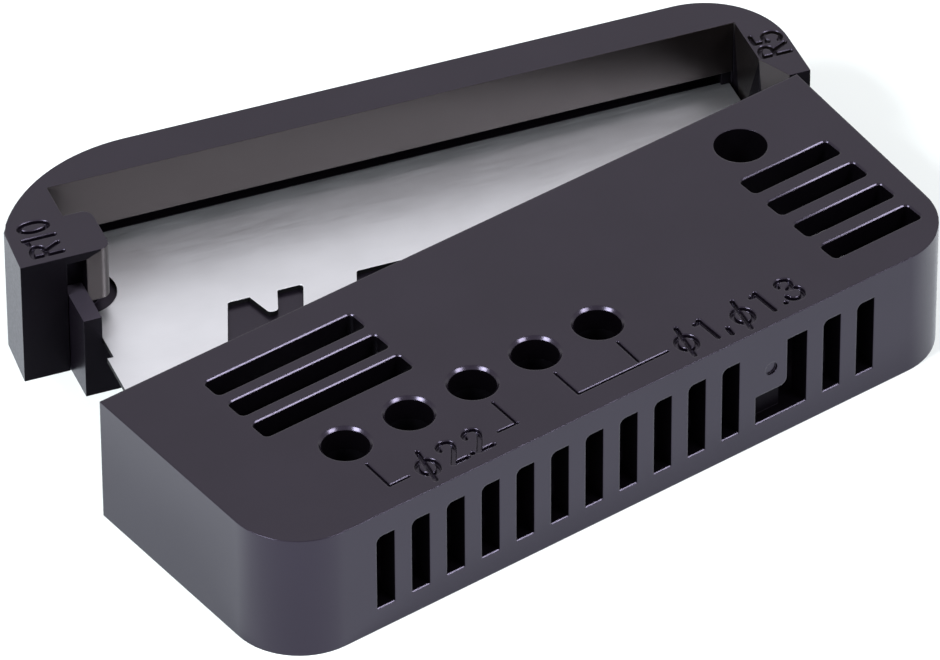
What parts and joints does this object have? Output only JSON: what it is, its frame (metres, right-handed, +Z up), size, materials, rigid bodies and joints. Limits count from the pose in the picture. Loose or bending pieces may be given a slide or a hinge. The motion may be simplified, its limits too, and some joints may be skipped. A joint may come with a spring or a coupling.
{
  "type": "optical fibre cutter",
  "caption": "Pocket cutter for plastic optical fibre: a slotted black guide housing with guide holes swings on a pivot pin against a holder that carries a thin steel blade.",
  "frame": {"origin": "centre of the open cutter's bounding box, on the surface it lies on", "axes": "+X along the blade holder towards the pivot end, +Y towards the holder's rear, +Z up"},
  "size_m": [0.0486, 0.0362, 0.008],
  "materials": {
    "holder_plastic": "satin moulded",
    "tray_plastic": "satin moulded",
    "housing_plastic": "fine moulded grain",
    "guide_plastic": "smooth moulded",
    "cover_plastic": "satin moulded",
    "blade_steel": "fine ground",
    "pin_steel": "turned",
    "screw_steel": "zinc plated"
  },
  "bodies": {
    "holder": {"holder_frame": "holder_plastic", "blade_tray": "tray_plastic", "blade": "blade_steel", "tray_screws": "screw_steel"},
    "housing": {"top_housing": "housing_plastic", "guide_block": "guide_plastic", "anvil_block": "guide_plastic", "base_cover": "cover_plastic", "pivot_pin": "pin_steel", "cover_screws": "screw_steel"}
  },
  "joints": [
    {"name": "squeeze_pivot", "type": "hinge", "parent": "holder", "child": "housing", "pos_m": [0.01642, 0.00495, 0.00168], "axis": [0, 0, 1], "range_deg": [-15.58, 0]}
  ]
}
